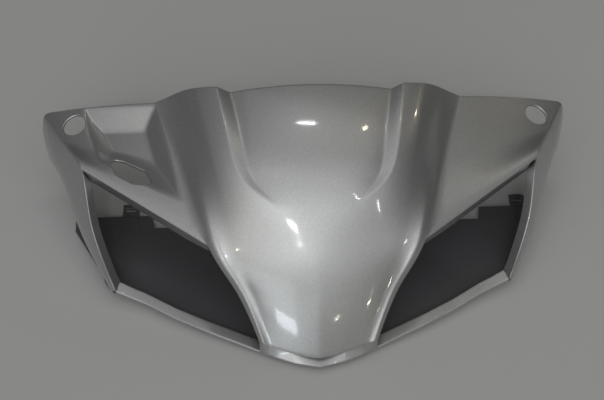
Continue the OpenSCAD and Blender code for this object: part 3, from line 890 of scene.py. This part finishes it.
links.new(put.outputs["Instances"], real.inputs["Geometry"])
links.new(real.outputs["Geometry"], coat.inputs["Geometry"])
links.new(given.outputs["Material"], coat.inputs["Material"])
links.new(coat.outputs["Geometry"], result.inputs["Geometry"])
RIB_SIZE = (1.8, 22.0, 5.0)
RIB_PITCH, RIB_Y, RIB_Z = 6.6, 147.0, 10.5
all_ribs = bmesh.new()
for x in TAB_PLACES.values():
    holder = bpy.data.objects.new("holder", bpy.data.meshes.new("holder"))
    bpy.context.scene.collection.objects.link(holder)
    row = holder.modifiers.new("ribs", "NODES")
    row.node_group = rib_tree
    begin = Vector((x - RIB_PITCH, RIB_Y, RIB_Z)) - Vector(ORIGIN.tolist())
    values = {"Count": 3, "Start": begin * MM, "Pitch": Vector((RIB_PITCH, 0, 0)) * MM,
              "Size": Vector(RIB_SIZE) * MM, "Material": bare}
    for item in rib_tree.interface.items_tree:
        if item.in_out == "INPUT":
            row[item.identifier] = values[item.name]
    edge = holder.modifiers.new("edge", "BEVEL")
    edge.width = 0.0003
    edge.segments = 2
    ribs = bpy.data.meshes.new_from_object(holder.evaluated_get(bpy.context.evaluated_depsgraph_get()))
    all_ribs.from_mesh(ribs)
    bpy.data.objects.remove(holder)
rib_mesh = bpy.data.meshes.new("tab_ribs")
all_ribs.to_mesh(rib_mesh)
all_ribs.free()
rib_mesh.materials.append(bare)
rib_mesh.polygons.foreach_set("use_smooth", [True] * len(rib_mesh.polygons))
rib_mesh.set_sharp_from_angle(angle=math.radians(40))
tab_ribs = bpy.data.objects.new("tab_ribs", rib_mesh)
bpy.context.scene.collection.objects.link(tab_ribs)
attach(tab_ribs, "root")


# Rear screw bosses: hollow posts that stand back from the inside of the nose's
# shoulder, each with a gusset. Self-tapping screws of the rear cover go into them.
BOSS_X, BOSS_RADIUS, PILOT_RADIUS = 70.0, 4.5, 1.75
BOSS_FRONT, BOSS_REAR, PILOT_DEEP = 40.0, 98.0, 16.0
BOSS_SIDES = 40
GUSSET_HALF, GUSSET_FRONT, GUSSET_REAR, GUSSET_LOW, GUSSET_HIGH = 0.9, 44.0, 86.0, 7.0, 14.0
BOSS_ON_SKIN = 0.59
BOSS_PROFILE = [(PILOT_RADIUS, BOSS_REAR - PILOT_DEEP), (PILOT_RADIUS, BOSS_REAR - 0.8),
                (PILOT_RADIUS + 0.5, BOSS_REAR), (BOSS_RADIUS - 0.5, BOSS_REAR),
                (BOSS_RADIUS, BOSS_REAR - 0.5), (BOSS_RADIUS + 0.3, BOSS_FRONT)]
bosses = bmesh.new()
for side in (-1, 1):
    loops = []
    for radius, y in BOSS_PROFILE:
        ring = []
        for a in np.linspace(0, 2 * math.pi, BOSS_SIDES, endpoint=False):
            x, z = side * BOSS_X + radius * math.cos(a), ORIGIN[2] + radius * math.sin(a)
            ring.append(bosses.verts.new((x, y, z)))
        loops.append(ring)
    for one, two in zip(loops, loops[1:]):
        for i in range(BOSS_SIDES):
            j = (i + 1) % BOSS_SIDES
            bosses.faces.new([one[i], one[j], two[j], two[i]])
    bosses.faces.new(loops[0])
    bosses.faces.new(loops[-1])
    add_soft_box(bosses, (side * BOSS_X - GUSSET_HALF, GUSSET_FRONT, ORIGIN[2] - GUSSET_LOW),
                 (side * BOSS_X + GUSSET_HALF, GUSSET_REAR, ORIGIN[2] + GUSSET_HIGH))
    # the shell's lining cuts off their front ends
    low, here, high = (skin_points(BOSS_ON_SKIN + step, [2.7, 3, 3.3], False) for step in (-0.02, 0, 0.02))
    out = unit(np.cross(here[2] - here[0], low[1] - high[1]))
    cut_at = here[1] - out * WALL * 0.7
    cut_at[0] *= side
    out[0] *= side
    near = [g for g in bosses.verts[:] + bosses.edges[:] + bosses.faces[:]
            if all(v.co.x * side > 0 for v in (getattr(g, "verts", None) or [g]))]
    made = bmesh.ops.bisect_plane(bosses, geom=near, plane_co=cut_at.tolist(),
                                  plane_no=out.tolist(), clear_outer=True)
    rim_edges = [g for g in made["geom_cut"] if isinstance(g, bmesh.types.BMEdge)]
    bmesh.ops.holes_fill(bosses, edges=rim_edges)
bmesh.ops.recalc_face_normals(bosses, faces=bosses.faces)
bare_piece("screw_bosses", bosses)


# Floor, lamps, room and camera: a pale floor that the cover lies on, soft lamps whose
# reflections stand where the clear coat shows the room's, and the photo's viewing angle
floor_mesh = bpy.data.meshes.new("floor")
low = cad_box[0][2] - 0.0003
floor_mesh.from_pydata([(-6, -6, low), (6, -6, low), (6, 6, low), (-6, 6, low)], [], [(0, 1, 2, 3)])
floor = bpy.data.objects.new("floor", floor_mesh)
bpy.context.scene.collection.objects.link(floor)
pale = bpy.data.materials.new("pale_floor")
pale.use_nodes = True
pale.node_tree.nodes["Principled BSDF"].inputs["Base Color"].default_value = (0.455, 0.455, 0.45, 1)
pale.node_tree.nodes["Principled BSDF"].inputs["Roughness"].default_value = 0.6
floor_mesh.materials.append(pale)


LAMP_AIM = Vector((0, -0.02, 0.02))


def lamp(name, way, distance, size, watts, colour=(1, 1, 1)):
    """Area lamp; way is its turn to the right of the front and its height, in degrees."""
    turn, rise_up = math.radians(way[0]), math.radians(way[1])
    light = bpy.data.lights.new(name, "AREA")
    light.shape = "RECTANGLE"
    light.size, light.size_y = size
    light.energy = watts
    light.color = colour
    o = bpy.data.objects.new(name, light)
    level = math.cos(rise_up)
    out = Vector((math.sin(turn) * level, -math.cos(turn) * level, math.sin(rise_up)))
    o.location = LAMP_AIM + out * distance
    o.rotation_euler = (-out).to_track_quat("-Z", "Y").to_euler()
    bpy.context.scene.collection.objects.link(o)


lamp("key", (-7, 45), 2.2, (0.075, 0.04), 1.9, (1.0, 1.0, 0.98))
lamp("pale_wall", (-24, 14), 2.6, (1.3, 0.9), 3.0, (0.96, 0.98, 1.0))
lamp("window", (-17, 5.5), 2.6, (0.52, 0.20), 2.6, (0.85, 0.93, 1.0))
lamp("sky", (160, 84), 2.6, (2.4, 2.4), 5.0)
lamp("tube", (175, 66), 2.2, (0.18, 0.04), 0.8)
lamp("warm_left", (-37, 34), 2.2, (0.06, 0.03), 0.5, (1.0, 0.85, 0.6))
lamp("warm_right_high", (137, 61), 2.2, (0.045, 0.06), 0.5, (1.0, 0.87, 0.65))
lamp("warm_right_low", (114, 34), 2.2, (0.06, 0.06), 0.6, (1.0, 0.87, 0.65))
lamp("white_right", (35, 58), 2.2, (0.03, 0.13), 0.45)
lamp("white_right_low", (42, 38), 2.2, (0.025, 0.19), 0.6)
lamp("warm_low_one", (34, 4), 2.2, (0.07, 0.03), 0.4, (1.0, 0.92, 0.75))
lamp("warm_low_two", (16, 8), 2.2, (0.04, 0.02), 0.2, (1.0, 0.92, 0.75))

# The room: brightest in front and above, dim towards the rear
world = bpy.data.worlds.new("room")
world.use_nodes = True
nodes, links = world.node_tree.nodes, world.node_tree.links
way = nodes.new("ShaderNodeTexCoord")
toward = nodes.new("ShaderNodeVectorMath")
toward.operation = "DOT_PRODUCT"
toward.inputs[1].default_value = (-0.16, -0.67, 0.725)
share = nodes.new("ShaderNodeMapRange")
share.inputs["From Min"].default_value = -1
level = nodes.new("ShaderNodeValToRGB")
ramp = level.color_ramp
ramp.elements[0].color = (0.08, 0.08, 0.08, 1)
ramp.elements[1].color = (1.5, 1.52, 1.55, 1)
for at, tone in ((0.18, 0.06), (0.42, 0.07), (0.63, 0.12), (0.80, 0.26), (0.90, 0.50), (0.965, 0.86)):
    stop = ramp.elements.new(at)
    stop.color = (tone, tone * 1.01, tone, 1)
links.new(way.outputs["Generated"], toward.inputs[0])
links.new(toward.outputs["Value"], share.inputs["Value"])
links.new(share.outputs["Result"], level.inputs["Fac"])
links.new(level.outputs["Color"], nodes["Background"].inputs["Color"])
nodes["Background"].inputs["Strength"].default_value = 1.0
bpy.context.scene.world = world

camera_data = bpy.data.cameras.new("camera")
camera_data.lens = 64.2
camera = bpy.data.objects.new("camera", camera_data)
yaw, down, roll = math.radians(5), math.radians(50), math.radians(2.25)
look = Vector((math.sin(yaw) * math.cos(down), math.cos(yaw) * math.cos(down), -math.sin(down)))
across = Vector((math.cos(yaw), -math.sin(yaw), 0))
up = across.cross(look)
x_axis = across * math.cos(roll) + up * math.sin(roll)
y_axis = up * math.cos(roll) - across * math.sin(roll)
turn = Matrix((x_axis, y_axis, -look)).transposed().to_4x4()
target = Vector((-0.0106, 0.002, 0.0173))
distance = 0.9
camera.matrix_world = Matrix.Translation(target - look * distance) @ turn
bpy.context.scene.collection.objects.link(camera)
bpy.context.scene.camera = camera
bpy.context.scene.view_settings.view_transform = "Standard"
